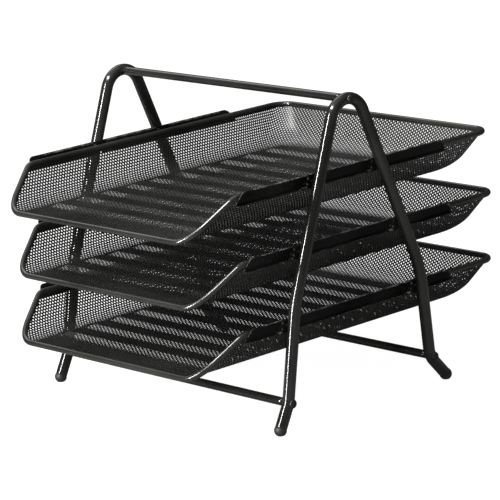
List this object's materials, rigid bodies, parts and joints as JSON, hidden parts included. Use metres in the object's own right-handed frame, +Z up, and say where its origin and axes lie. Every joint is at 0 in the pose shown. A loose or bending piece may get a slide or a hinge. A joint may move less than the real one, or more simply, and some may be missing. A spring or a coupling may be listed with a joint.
{
  "type": "tiered letter tray",
  "caption": "Desk letter tray with stacked mesh trays hung one above another between two bent-tube side frames, open at the front for paper.",
  "frame": {"origin": "middle of the overall footprint, on the desk under the feet", "axes": "+Z up, +Y from the open front to the back, +X to the right of someone facing the open front"},
  "size_m": [0.3002, 0.3628, 0.2752],
  "materials": {
    "frame_coat": "satin black powder coat",
    "rim_coat": "satin black powder coat",
    "mesh_coat": "satin black powder coat on mesh",
    "plate_coat": "satin black powder coat",
    "screw_black": "black oxide",
    "stud_steel": "black coated",
    "foot_plastic": "moulded matt"
  },
  "bodies": {
    "frame": {"left_side_frame": "frame_coat", "right_side_frame": "frame_coat", "top_crossbar": "frame_coat", "front_crossbar": "frame_coat", "rear_crossbar": "frame_coat", "top_crossbar_screws": "screw_black", "front_crossbar_screws": "screw_black", "rear_crossbar_screws": "screw_black", "front_left_foot_cap": "foot_plastic", "rear_left_foot_cap": "foot_plastic", "front_right_foot_cap": "foot_plastic", "rear_right_foot_cap": "foot_plastic", "top_tray_hook_studs": "stud_steel", "middle_tray_hook_studs": "stud_steel", "bottom_tray_hook_studs": "stud_steel"},
    "top_tray": {"top_tray_mesh_pan": "mesh_coat", "top_tray_rim": "rim_coat", "top_tray_left_side_plate": "plate_coat", "top_tray_right_side_plate": "plate_coat"},
    "middle_tray": {"middle_tray_mesh_pan": "mesh_coat", "middle_tray_rim": "rim_coat", "middle_tray_left_side_plate": "plate_coat", "middle_tray_right_side_plate": "plate_coat"},
    "bottom_tray": {"bottom_tray_mesh_pan": "mesh_coat", "bottom_tray_rim": "rim_coat", "bottom_tray_left_side_plate": "plate_coat", "bottom_tray_right_side_plate": "plate_coat"}
  },
  "joints": [
    {"name": "top_tray_lift", "type": "slide", "parent": "frame", "child": "top_tray", "axis": [0, 0, 1], "range_m": [0, 0.01]},
    {"name": "middle_tray_lift", "type": "slide", "parent": "frame", "child": "middle_tray", "axis": [0, 0, 1], "range_m": [0, 0.01]},
    {"name": "bottom_tray_lift", "type": "slide", "parent": "frame", "child": "bottom_tray", "axis": [0, 0, 1], "range_m": [0, 0.01]}
  ]
}
